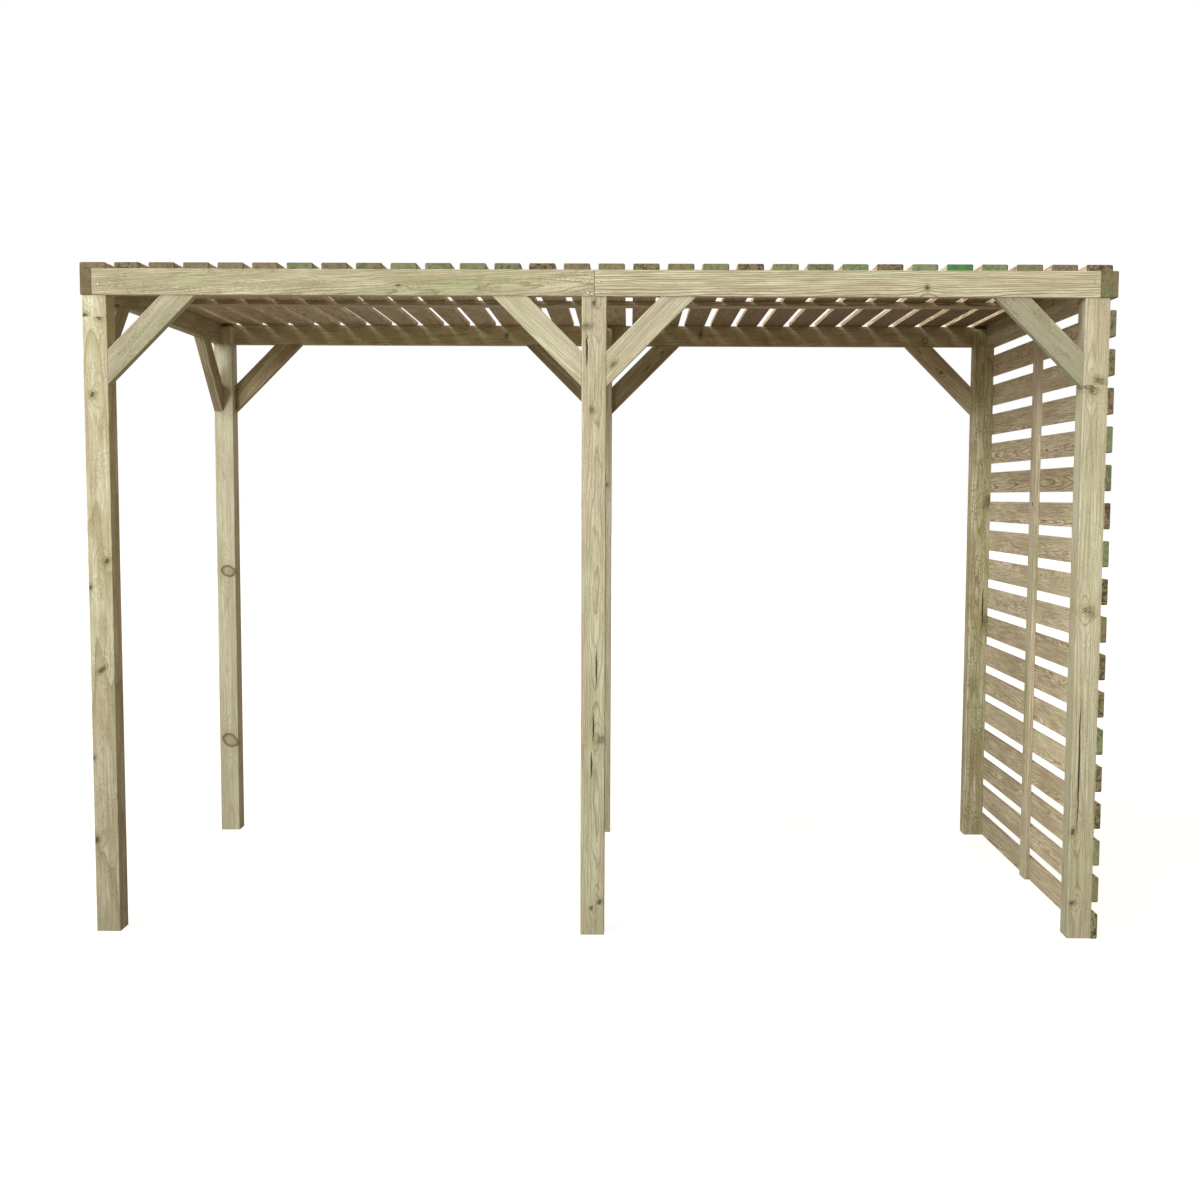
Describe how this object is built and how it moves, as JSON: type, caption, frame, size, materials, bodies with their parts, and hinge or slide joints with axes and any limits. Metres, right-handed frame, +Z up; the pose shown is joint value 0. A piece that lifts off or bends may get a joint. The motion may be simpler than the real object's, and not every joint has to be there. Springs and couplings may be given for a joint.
{
  "type": "wooden pergola",
  "caption": "Free-standing timber pergola with notched square posts, lapped beams, knee braces, a flat slatted roof and one slatted side.",
  "frame": {"origin": "middle of the bounding box, on the ground under the posts' feet", "axes": "+X along the width towards the slatted side, +Y from the front to the back, +Z up"},
  "size_m": [3.772, 1.84, 2.487],
  "materials": {
    "planed_timber": "planed pressure-treated softwood, matt",
    "sawn_slats": "planed and rounded pressure-treated softwood boards, matt"
  },
  "bodies": {
    "root": {"post_front_left": "planed_timber", "post_front_middle": "planed_timber", "post_front_right": "planed_timber", "post_back_left": "planed_timber", "post_back_middle": "planed_timber", "post_back_right": "planed_timber", "side_rail_left": "planed_timber", "side_rail_right": "planed_timber", "front_beam_left": "planed_timber", "front_beam_right": "planed_timber", "back_beam_left": "planed_timber", "back_beam_right": "planed_timber", "front_brace_left": "planed_timber", "front_brace_middle_left": "planed_timber", "front_brace_middle_right": "planed_timber", "front_brace_right": "planed_timber", "back_brace_left": "planed_timber", "back_brace_middle_left": "planed_timber", "back_brace_middle_right": "planed_timber", "back_brace_right": "planed_timber", "side_brace_front": "planed_timber", "side_brace_back": "planed_timber", "roof_purlin": "sawn_slats", "side_batten": "sawn_slats", "roof_slats_1": "sawn_slats", "roof_slats_2": "sawn_slats", "roof_slats_3": "sawn_slats", "roof_slats_4": "sawn_slats", "roof_slats_5": "sawn_slats", "roof_slats_6": "sawn_slats", "side_slats_lower": "sawn_slats", "side_slats_middle": "sawn_slats", "side_slats_upper": "sawn_slats"}
  },
  "joints": []
}
